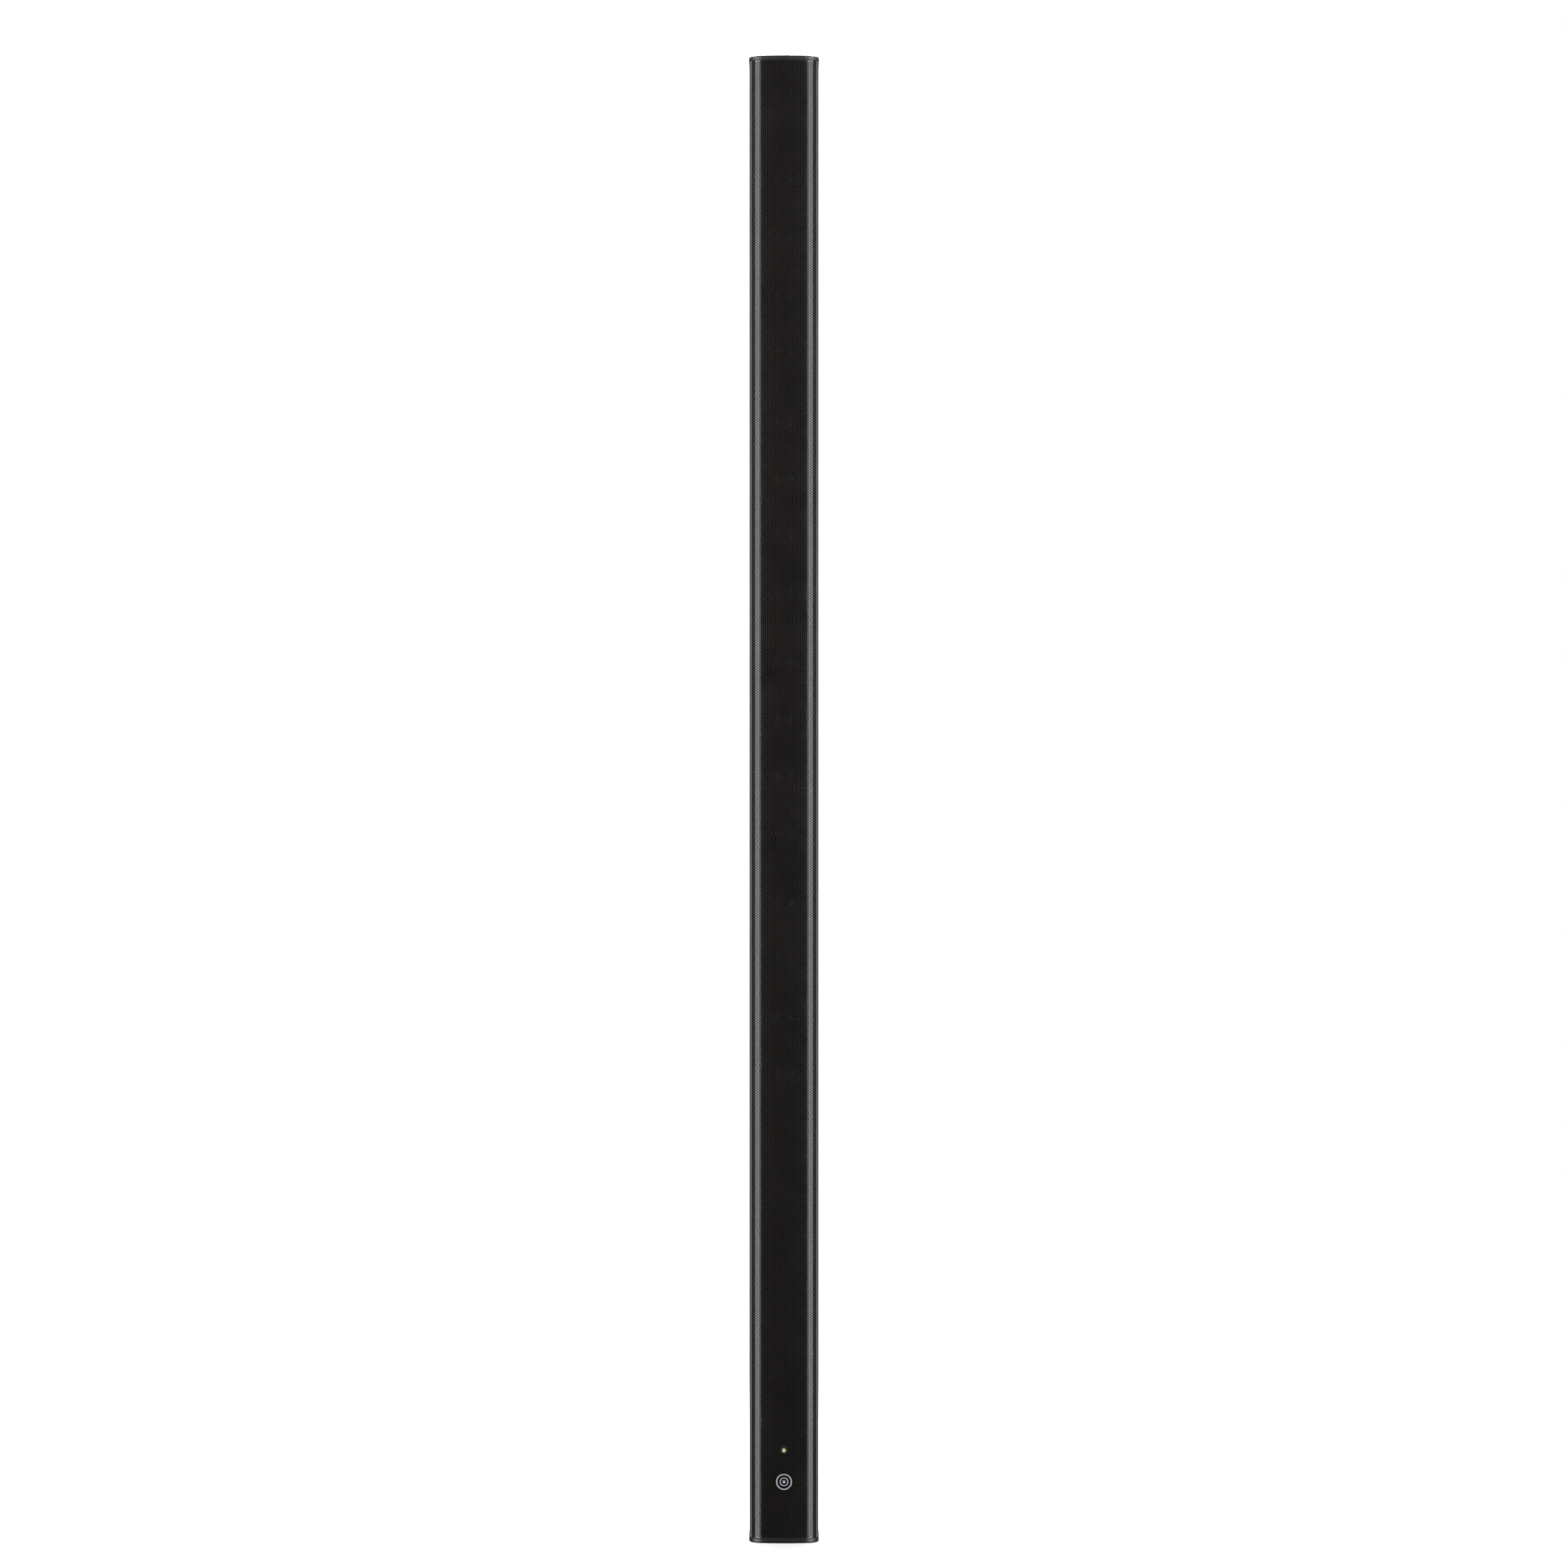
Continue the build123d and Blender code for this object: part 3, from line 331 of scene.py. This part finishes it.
MATERIALS = {
    "housing": powder_coat(
        "black_powder_coat",
        (0.013, 0.0128, 0.0125),
        (0.019, 0.0187, 0.0182),
        0.22,
        0.3,
        FINE_GRAIN,
        FINE_BUMP,
        shine=0.32,
    ),
    "grille": powder_coat(
        "grille_enamel",
        (0.0105, 0.0093, 0.0086),
        (0.0155, 0.0137, 0.0127),
        0.2,
        0.28,
        FINE_GRAIN,
        FINE_BUMP,
    ),
    "seal": moulded("black_rubber", (0.003, 0.003, 0.003), (0.006, 0.006, 0.006), 0.7, 0.85),
    "end_cap": moulded("cap_plastic", (0.009, 0.0088, 0.009), (0.016, 0.0155, 0.0155), 0.36, 0.5),
    "black_screw": powder_coat(
        "blackened_steel", (0.01, 0.01, 0.011), (0.03, 0.03, 0.032), 0.28, 0.42, 1800.0
    ),
    "badge_field": moulded(
        "badge_enamel", (0.003, 0.0035, 0.007), (0.005, 0.006, 0.012), 0.1, 0.2, FINE_GRAIN, 0.000004
    ),
    "badge_metal": plated("badge_silver", (0.7, 0.7, 0.73), (0.84, 0.84, 0.86), 0.3, 0.4, 0.4),
    "circuit_board": circuit_board("circuit_board", (0.006, 0.07, 0.03), (0.03, 0.22, 0.09)),
    "light": glowing("status_led", (0.5, 1.0, 0.5), 1.0),
    "light_pipe": light_guide("light_guide", (0.74, 1.0, 0.5), 2.6),
    "baffle": moulded("baffle_plastic", BLACK, SOFT_BLACK, 0.55, 0.7),
    "driver_frame": moulded("frame_plastic", (0.01, 0.01, 0.01), (0.022, 0.022, 0.022), 0.4, 0.55),
    "motor": plated("motor_plating", (0.42, 0.42, 0.44), (0.6, 0.6, 0.62), 0.25, 0.4),
    "surround": moulded("butyl_rubber", (0.006, 0.006, 0.006), (0.014, 0.014, 0.014), 0.4, 0.55),
    "spider": woven("spider_cloth", (0.18, 0.1, 0.03), (0.5, 0.33, 0.13)),
    "damping": fibre_felt("polyester_felt", (0.42, 0.42, 0.44), (0.75, 0.75, 0.77)),
    "wire": moulded("wire_jacket", (0.12, 0.006, 0.006), (0.22, 0.012, 0.012), 0.35, 0.5),
    "pan": moulded("pan_plastic", (0.009, 0.009, 0.0095), (0.018, 0.018, 0.019), 0.45, 0.6),
    "socket": moulded("socket_plastic", (0.012, 0.012, 0.012), (0.03, 0.03, 0.03), 0.3, 0.45),
    "switch_block": moulded("switch_plastic", (0.02, 0.02, 0.024), (0.045, 0.045, 0.05), 0.35, 0.5),
    "chassis": brushed("chassis_aluminium", (0.5, 0.5, 0.52), (0.68, 0.68, 0.7), 0.3, 0.45),
    "component": moulded("component_case", (0.03, 0.03, 0.034), (0.07, 0.07, 0.078), 0.3, 0.5),
    "cone": pressed_paper("cone_paper", (0.012, 0.012, 0.012), (0.03, 0.03, 0.03)),
    "switch_nub": moulded("nub_plastic", (0.4, 0.4, 0.38), (0.5, 0.5, 0.48), 0.35, 0.5),
    "nut": brushed("zinc_plate", (0.45, 0.46, 0.48), (0.66, 0.67, 0.69), 0.25, 0.4),
}

BLACK_BOARD = circuit_board("black_circuit_board", (0.004, 0.004, 0.004), (0.009, 0.009, 0.009))


def dress_cad_nodes():
    for part in frame["record"]["subparts"]:
        node = NODES[part["node"]]
        for slot in node.material_slots:
            slot.material = MATERIALS[part["material_slot"]]
    for slot in NODES["status_led_board"].material_slots:
        slot.material = BLACK_BOARD


# ---- perforated grille ---------------------------------------------------------------


class SheetCurve:
    """The grille's plan curve, by distance along its outer face from the middle."""

    def __init__(self):
        low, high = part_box("front_grille")
        self.low_z, self.high_z = low.z, high.z
        inset = low.y - CAD_BOX[0][1]
        self.crown_r = CROWN_R - inset
        self.shoulder_r = SHOULDER_R - inset
        self.crown_y = low.y + self.crown_r
        self.shoulder_y = self.crown_y - (CROWN_R - SHOULDER_R) * math.cos(SHOULDER_TURN)
        reach = self.shoulder_r - FOLD_R
        self.fold_turn = math.asin((high.x - SHOULDER_X - FOLD_R) / reach)
        self.fold_x = SHOULDER_X + reach * math.sin(self.fold_turn)
        self.fold_y = self.shoulder_y - reach * math.cos(self.fold_turn)
        self.crown_end = self.crown_r * SHOULDER_TURN
        self.shoulder_end = self.crown_end + self.shoulder_r * (self.fold_turn - SHOULDER_TURN)
        self.fold_end = self.shoulder_end + FOLD_R * (math.pi / 2 - self.fold_turn)
        self.flange_end = self.fold_end + high.y - self.fold_y

    def at(self, along, depth):
        """x and y at each distance along, depth behind the outer face."""
        away = np.abs(along)
        turn = away / self.crown_r
        x = (self.crown_r - depth) * np.sin(turn)
        y = self.crown_y - (self.crown_r - depth) * np.cos(turn)
        turn = SHOULDER_TURN + (away - self.crown_end) / self.shoulder_r
        on = away > self.crown_end
        x = np.where(on, SHOULDER_X + (self.shoulder_r - depth) * np.sin(turn), x)
        y = np.where(on, self.shoulder_y - (self.shoulder_r - depth) * np.cos(turn), y)
        turn = self.fold_turn + (away - self.shoulder_end) / FOLD_R
        on = away > self.shoulder_end
        x = np.where(on, self.fold_x + (FOLD_R - depth) * np.sin(turn), x)
        y = np.where(on, self.fold_y - (FOLD_R - depth) * np.cos(turn), y)
        on = away > self.fold_end
        x = np.where(on, self.fold_x + FOLD_R - depth, x)
        y = np.where(on, self.fold_y + away - self.fold_end, y)
        return np.sign(along) * x, y


class FlatSheet:
    """Points and faces of a sheet before it is bent, with shared points joined."""

    def __init__(self):
        self.points, self.index, self.faces = [], {}, []

    def point(self, along, z):
        key = (round(along * 1e7), round(z * 1e7))
        if key not in self.index:
            self.index[key] = len(self.points)
            self.points.append((along, z))
        return self.index[key]

    def face(self, *corners):
        self.faces.append([self.point(*corner) for corner in corners])


def cell_ring(along, z, pitch, turn_step):
    """The hexagon round one hole: its corners and the middles of its sides."""
    ring = []
    for k in range(HOLE_SIDES):
        reach = pitch / 2 if k % 2 else pitch / math.sqrt(3)
        ring.append((along + reach * math.cos(k * turn_step), z + reach * math.sin(k * turn_step)))
    return ring


def flat_piece(curve, pitch, first_z, low_edge=None, high_edge=None):
    """One length of perforated sheet; its ends follow the cells unless an edge is given."""
    sheet = FlatSheet()
    spacing = pitch * math.sqrt(3) / 2
    turn_step = 2 * math.pi / HOLE_SIDES
    half = COLUMNS // 2
    low_line, high_line, side_line = [], [], []
    for column in range(-half, half + 1):
        along = column * spacing
        for row in range(ROWS_PER_PIECE):
            z = first_z + (row + 0.5 * (column % 2)) * pitch
            ring = cell_ring(along, z, pitch, turn_step)
            hole = [
                (along + HOLE_R * math.cos(k * turn_step), z + HOLE_R * math.sin(k * turn_step))
                for k in range(HOLE_SIDES)
            ]
            for k in range(HOLE_SIDES):
                j = (k + 1) % HOLE_SIDES
                sheet.face(ring[k], ring[j], hole[j], hole[k])
            if row == 0:
                low_line += ring[8:11] if column % 2 else ring[7:12]
            if row == ROWS_PER_PIECE - 1:
                high_line += ring[1:6][::-1] if column % 2 else ring[2:5][::-1]
            if column == half:
                side_line += [ring[10], ring[11], ring[0], ring[1]]
    side_line.append(ring[2])
    low_line = trimmed(low_line, half * spacing + pitch / math.sqrt(3) / 2)
    high_line = trimmed(high_line, half * spacing + pitch / math.sqrt(3) / 2)
    steps = [
        half * spacing + pitch / math.sqrt(3) + MARGIN_GAP,
        curve.shoulder_end,
        (curve.shoulder_end * 2 + curve.fold_end) / 3,
        (curve.shoulder_end + curve.fold_end * 2) / 3,
        curve.fold_end,
        curve.flange_end,
    ]
    heights = [z for _, z in side_line]
    for edge, line, upper in ((low_edge, low_line, False), (high_edge, high_line, True)):
        if edge is None:
            continue
        for (a, az), (b, bz) in zip(line, line[1:]):
            corners = [(a, edge), (b, edge), (b, bz), (a, az)]
            sheet.face(*(reversed(corners) if upper else corners))
        corner = side_line[-1 if upper else 0]
        for side in (-1, 1):
            corners = [
                (side * corner[0], edge),
                (side * steps[0], edge),
                (side * steps[0], corner[1]),
                (side * corner[0], corner[1]),
            ]
            sheet.face(*(reversed(corners) if upper != (side < 0) else corners))
    for side in (-1, 1):
        for (a, az), (b, bz) in zip(side_line, side_line[1:]):
            corners = [(side * a, az), (side * steps[0], az), (side * steps[0], bz), (side * b, bz)]
            sheet.face(*(reversed(corners) if side < 0 else corners))
        levels = list(heights)
        if low_edge is not None:
            levels.insert(0, low_edge)
        if high_edge is not None:
            levels.append(high_edge)
        for near, far in zip(steps, steps[1:]):
            for low, high in zip(levels, levels[1:]):
                corners = [
                    (side * near, low),
                    (side * far, low),
                    (side * far, high),
                    (side * near, high),
                ]
                sheet.face(*(reversed(corners) if side < 0 else corners))
    return sheet


def trimmed(line, reach):
    """The points of an end line between the outer columns, each once, left to right."""
    kept = []
    for point in line:
        if abs(point[0]) <= reach + 1e-9 and (not kept or point[0] > kept[-1][0] + 1e-9):
            kept.append(point)
    return kept


def solid_sheet(name, flat, curve, lift, material):
    """Bends a flat sheet to the curve, gives it its thickness and closes every edge."""
    points = np.array(flat.points)
    count = len(points)
    layers = []
    for depth in (0.0, SHEET_T):
        x, y = curve.at(points[:, 0], depth)
        layers.append(np.stack([x, y, points[:, 1] + lift], axis=1))
    once = {}
    for face in flat.faces:
        for a, b in zip(face, face[1:] + face[:1]):
            if (b, a) in once:
                del once[(b, a)]
            else:
                once[(a, b)] = True
    faces = list(flat.faces)
    faces += [[count + i for i in reversed(face)] for face in flat.faces]
    faces += [[b, a, count + a, count + b] for a, b in once]
    return add_mesh(name, np.concatenate(layers), faces, material, 40)


def build_grille():
    curve = SheetCurve()
    rows = SHEET_PIECES * ROWS_PER_PIECE
    pitch = (curve.high_z - curve.low_z - 2 * SHEET_END_MARGIN) / (rows + 0.5)
    length = ROWS_PER_PIECE * pitch
    first_z = curve.low_z + SHEET_END_MARGIN + pitch / 2
    body = flat_piece(curve, pitch, first_z)
    bottom = flat_piece(curve, pitch, first_z, low_edge=curve.low_z)
    top_edge = curve.high_z - (SHEET_PIECES - 1) * length
    top = flat_piece(curve, pitch, first_z, high_edge=top_edge)
    for k in range(SHEET_PIECES):
        flat = bottom if k == 0 else top if k == SHEET_PIECES - 1 else body
        piece = solid_sheet("grille_sheet_" + str(k + 1), flat, curve, k * length, MATERIALS["grille"])
        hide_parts("front_grille")
        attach(piece, "enclosure")


# ---- badge ---------------------------------------------------------------------------


RIM_WIDTH = 0.85 * MM
RIM_EDGE = 0.12 * MM
INNER_RING_R = 3.3 * MM
INNER_RING_HOLE_R = 2.75 * MM
INNER_RING_SET_BACK = 0.03 * MM
INNER_RING_EDGE = 0.1 * MM
DOT_R = 1.05 * MM


def ring_outline(outer, inner, front, back, edge):
    """Section of a flat ring with rounded front edges."""
    return [
        (inner, back),
        (inner, front + edge),
        (inner + edge * 0.3, front + edge * 0.3),
        (inner + edge, front),
        (outer - edge, front),
        (outer - edge * 0.3, front + edge * 0.3),
        (outer, front + edge),
        (outer, back),
    ]


def build_badge():
    """A plain picture of a loudspeaker: bright rim, inner ring and centre dot."""
    low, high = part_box("badge_ring")
    centre = Vector(((low.x + high.x) / 2, low.y, (low.z + high.z) / 2))
    outer = (high.x - low.x) / 2
    depth = high.y - low.y
    rim = ring_outline(outer, outer - RIM_WIDTH, 0, depth, RIM_EDGE)
    inner_ring = ring_outline(
        INNER_RING_R, INNER_RING_HOLE_R, INNER_RING_SET_BACK, depth, INNER_RING_EDGE
    )
    dome = [(0, 0), (0.35 * MM, 0.02 * MM), (0.7 * MM, 0.07 * MM), (DOT_R, 0.17 * MM)]
    dot = [(0, depth), *dome, (DOT_R, depth)]
    outlines = {"badge_rim": rim, "badge_inner_ring": inner_ring, "badge_dot": dot}
    metal = MATERIALS["badge_metal"]
    pieces = [lathe(name, outline, centre, metal) for name, outline in outlines.items()]
    for piece in pieces:
        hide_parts("badge_ring")
        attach(piece, "enclosure")


# ---- driver surrounds ----------------------------------------------------------------

DRIVERS = 16
SURROUND_T = 0.45 * MM
SURROUND_LAP = 1.0 * MM
ROLL_OVERLAP = 0.1 * MM
ROLL_STEPS = 7
SURROUND_STEPS = 64


def half_roll(middle, roll, foot_r, side):
    """Section of a rubber half roll from its crest down to one foot, as (radius, y)."""
    skin = roll + SURROUND_T
    lowest = math.asin(SURROUND_T / skin)
    outline = []
    for k in range(ROLL_STEPS + 1):
        turn = math.pi / 2 + (lowest - math.pi / 2) * k / ROLL_STEPS
        outline.append((middle + side * skin * math.cos(turn), -skin * math.sin(turn)))
    outline += [(foot_r, -SURROUND_T), (foot_r, 0)]
    for k in range(ROLL_STEPS + 1):
        turn = math.pi / 2 * k / ROLL_STEPS
        outline.append((middle + side * roll * math.cos(turn), -roll * math.sin(turn)))
    return outline


def build_surrounds():
    """Each driver's roll in two halves: the inner one laps onto the cone's edge and the outer one
    reaches the frame.
    """
    low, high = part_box("driver_surrounds")
    roll = high.y - low.y - SURROUND_T
    for k in range(1, DRIVERS + 1):
        cone = "cone_%02d" % k
        cone_low, cone_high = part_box("driver_" + cone)
        edge_r = (cone_high.x - cone_low.x) / 2
        middle = edge_r + roll - ROLL_OVERLAP
        centre = Vector(((low.x + high.x) / 2, high.y, (cone_low.z + cone_high.z) / 2))
        halves = (
            ("inner", edge_r - SURROUND_LAP, -1, (cone, "enclosure")),
            ("outer", (high.x - low.x) / 2, 1, ("enclosure", cone)),
        )
        for word, foot_r, side, bodies in halves:
            outline = half_roll(middle, roll, foot_r, side)
            name = "surround_%02d_%s" % (k, word)
            piece = lathe(name, outline, centre, MATERIALS["surround"], steps=SURROUND_STEPS)
            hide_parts("driver_surrounds")
            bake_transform(piece)


# ---- network socket ------------------------------------------------------------------

CONTACTS = 8
CONTACT_PITCH = 1.02 * MM
CONTACT_WIDTH = 0.45 * MM
CONTACT_T = 0.2 * MM
MOUTH_TOP = 4.1 * MM


def contact_path(face_y, top_z):
    """Side view of one sprung contact, from the mouth inwards, as (y, z) points."""
    bends = ((1.4, 0.2), (2.2, 0.25), (2.9, 0.5), (9.2, 3.3), (9.7, 3.4), (10.4, 3.3))
    return [(face_y - depth * MM, top_z - drop * MM) for depth, drop in bends]


def build_contacts():
    """Eight gold springs under the roof of the network socket's mouth."""
    low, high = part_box("network_socket")
    path = contact_path(high.y, (low.z + high.z) / 2 + MOUTH_TOP)
    verts, faces = [], []
    for k in range(CONTACTS):
        x = (low.x + high.x) / 2 + (k - (CONTACTS - 1) / 2) * CONTACT_PITCH
        first = len(verts)
        for y, z in path:
            for side, drop in ((-1, 0), (1, 0), (1, 1), (-1, 1)):
                verts.append((x + side * CONTACT_WIDTH / 2, y, z - drop * CONTACT_T))
        for step in range(len(path) - 1):
            near, far = first + 4 * step, first + 4 * step + 4
            for i in range(4):
                j = (i + 1) % 4
                faces.append((near + i, near + j, far + j, far + i))
        faces.append((first, first + 1, first + 2, first + 3))
        last = len(verts) - 4
        faces.append((last, last + 1, last + 2, last + 3))
    gold = plated("contact_gold", (0.75, 0.5, 0.16), (0.9, 0.66, 0.28), 0.2, 0.32)
    piece = add_mesh("socket_contacts", verts, faces, gold)
    tidy_up(piece.data)
    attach(piece, "enclosure")


# ---- stage, light, camera ------------------------------------------------------------

CAMERA_DISTANCE = 5.0
LENS = 148.7
CAMERA_RISE = 11.7 * MM
FLOOR_R = 1.4
FLOOR_GAP = 0.2 * MM
FADE_START = 0.35
FADE_END = 0.98
SOFTBOX_X = 1.7
SOFTBOX_SIZE = (1.44, 4.2)
SOFTBOX_Y = -0.81
SOFTBOX_POWER = 128.0
BACK_LIGHT_PLACE = (0, 2.2, 2.7)
BACK_LIGHT_SIZE = (1.8, 1.8)
BACK_LIGHT_POWER = 260.0
OVERHEAD_PLACE = (0, -0.6, 2.8)
OVERHEAD_SIZE = (1.2, 1.2)
OVERHEAD_POWER = 10.0
WORLD_FILL = 0.07


def build_floor():
    """A round white floor that fades out into the white background."""
    verts = [(0, 0, 0)]
    faces = []
    rings, steps = 6, 96
    for ring in range(1, rings + 1):
        for k in range(steps):
            turn = 2 * math.pi * k / steps
            reach = FLOOR_R * ring / rings
            verts.append((reach * math.cos(turn), reach * math.sin(turn), 0))
    for k in range(steps):
        faces.append((0, 1 + k, 1 + (k + 1) % steps))
    for ring in range(rings - 1):
        near, far = 1 + ring * steps, 1 + (ring + 1) * steps
        for k in range(steps):
            j = (k + 1) % steps
            faces.append((near + k, far + k, far + j, near + j))
    finish = Finish("studio_floor", (0.86, 0.86, 0.86), 0.7)
    away = finish.node("ShaderNodeVectorMath", operation="LENGTH")
    finish.link(finish.where.outputs["Object"], away.inputs[0])
    fade = finish.spread(
        away.outputs["Value"], 1.0, 0.0, FLOOR_R * FADE_START, FLOOR_R * FADE_END
    )
    finish.link(fade, finish.shader.inputs["Alpha"])
    floor = add_mesh("studio_floor", verts, faces, finish.material)
    floor.location.z = CAD_BOX[0][2] - FLOOR_GAP
    floor.visible_glossy = False
    floor.visible_diffuse = False


def build_world():
    world = bpy.data.worlds.new("studio")
    bpy.context.scene.world = world
    world.use_nodes = True
    tree = world.node_tree
    seen = tree.nodes["Background"]
    seen.inputs["Color"].default_value = (1, 1, 1, 1)
    seen.inputs["Strength"].default_value = 1.0
    fill = tree.nodes.new("ShaderNodeBackground")
    fill.inputs["Color"].default_value = (1.0, 0.99, 0.98, 1)
    fill.inputs["Strength"].default_value = WORLD_FILL
    path = tree.nodes.new("ShaderNodeLightPath")
    mix = tree.nodes.new("ShaderNodeMixShader")
    tree.links.new(path.outputs["Is Camera Ray"], mix.inputs["Fac"])
    tree.links.new(fill.outputs["Background"], mix.inputs[1])
    tree.links.new(seen.outputs["Background"], mix.inputs[2])
    tree.links.new(mix.outputs["Shader"], tree.nodes["World Output"].inputs["Surface"])


def area_light(name, place, target, size, power):
    """A soft panel facing target; size is its width and then its height."""
    data = bpy.data.lights.new(name, "AREA")
    data.shape = "RECTANGLE"
    data.size, data.size_y = size
    data.energy = power
    lamp = bpy.data.objects.new(name, data)
    lamp.location = place
    lamp.rotation_euler = (Vector(target) - Vector(place)).to_track_quat("-Z", "Y").to_euler()
    lamp.visible_camera = False
    bpy.context.scene.collection.objects.link(lamp)


def build_lights():
    """Two side softboxes shape the front, and a high light behind shows the back."""
    height = (CAD_BOX[0][2] + CAD_BOX[1][2]) / 2
    for side, name in ((-1, "left_softbox"), (1, "right_softbox")):
        place = (side * SOFTBOX_X, SOFTBOX_Y, height)
        area_light(name, place, (0, SOFTBOX_Y, height), SOFTBOX_SIZE, SOFTBOX_POWER)
    area_light(
        "back_light", BACK_LIGHT_PLACE, (0, 0.05, height), BACK_LIGHT_SIZE, BACK_LIGHT_POWER
    )
    area_light("overhead", OVERHEAD_PLACE, (0, 0, 0.6), OVERHEAD_SIZE, OVERHEAD_POWER)


def build_camera():
    low, high = CAD_BOX
    data = bpy.data.cameras.new("front_camera")
    data.sensor_width = 36.0
    data.lens = LENS
    camera = bpy.data.objects.new("front_camera", data)
    height = (low[2] + high[2]) / 2 + CAMERA_RISE
    camera.location = ((low[0] + high[0]) / 2, low[1] - CAMERA_DISTANCE, height)
    camera.rotation_euler = (math.pi / 2, 0, 0)
    bpy.context.scene.collection.objects.link(camera)
    bpy.context.scene.camera = camera


def set_look():
    view = bpy.context.scene.view_settings
    view.view_transform = "Standard"
    view.look = "None"


dress_cad_nodes()
build_grille()
build_badge()
build_surrounds()
build_contacts()
build_floor()
build_world()
build_lights()
build_camera()
set_look()
